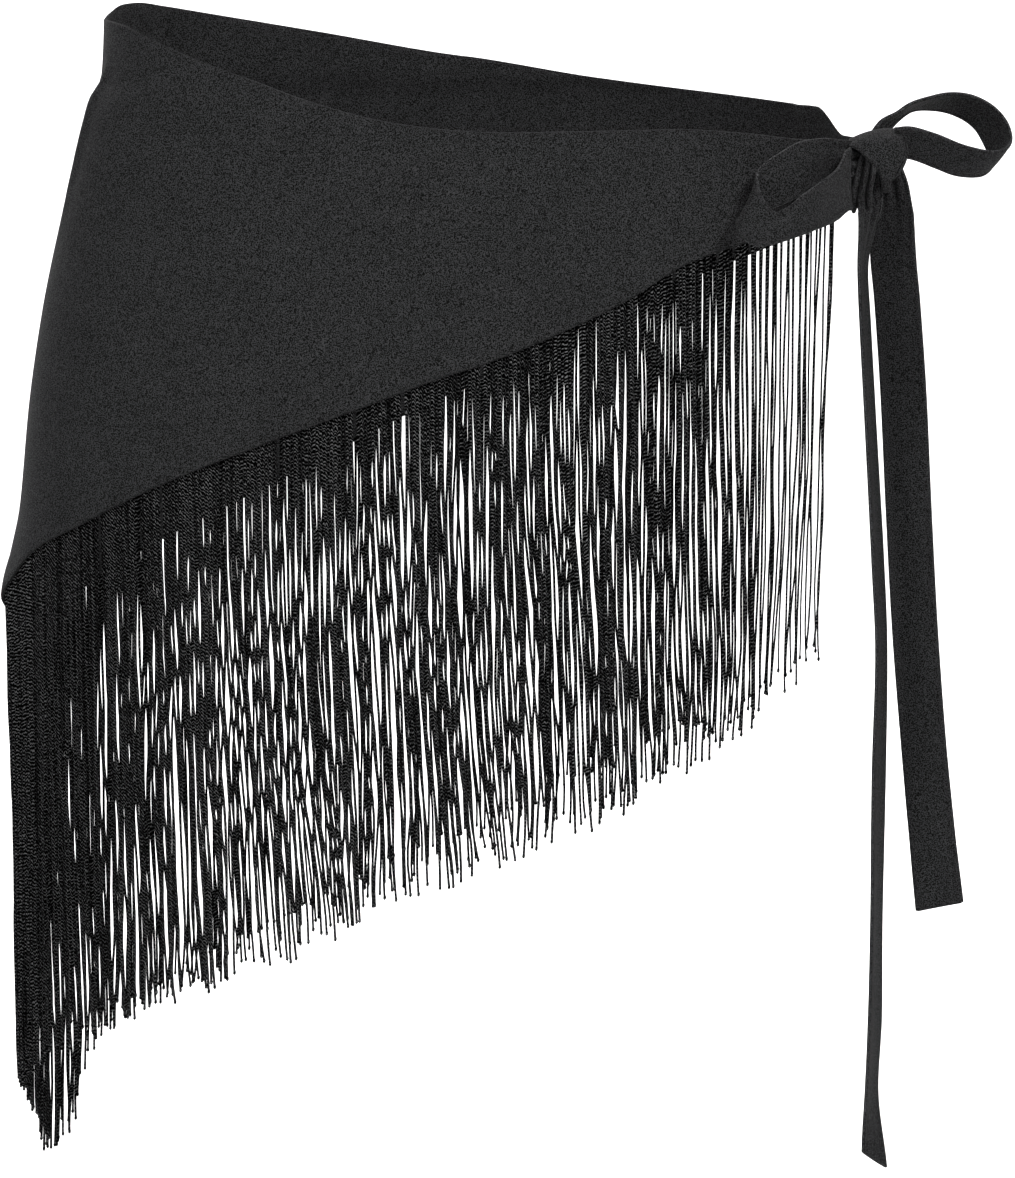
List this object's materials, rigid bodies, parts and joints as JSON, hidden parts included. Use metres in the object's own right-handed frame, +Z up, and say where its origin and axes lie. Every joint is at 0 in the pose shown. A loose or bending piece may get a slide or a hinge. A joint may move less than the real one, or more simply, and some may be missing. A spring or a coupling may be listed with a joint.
{
  "type": "fringe hip scarf",
  "caption": "Triangular crepe hip scarf worn with no wearer: a wrapped triangle of cloth tied in a bow at one hip, with a long hanging cord fringe along its slanting hem.",
  "frame": {"origin": "middle of the hollow where the hips hold the scarf, at the height of the knot", "axes": "+Z up, -Y towards the front of the body, +X towards the side with the bow, which is the wearer's left"},
  "size_m": [0.4219, 0.2444, 0.4845],
  "materials": {
    "crepe": "matt crepe with a fine grain",
    "fringe_yarn": "chained yarn with a slight sheen"
  },
  "bodies": {
    "root": {"wrap_front": "crepe", "wrap_back": "crepe", "knot": "crepe", "bow_loop_left": "crepe", "bow_loop_right": "crepe", "tail_wide": "crepe", "tail_narrow": "crepe", "fringe_front": "fringe_yarn", "fringe_back": "fringe_yarn"}
  },
  "joints": []
}
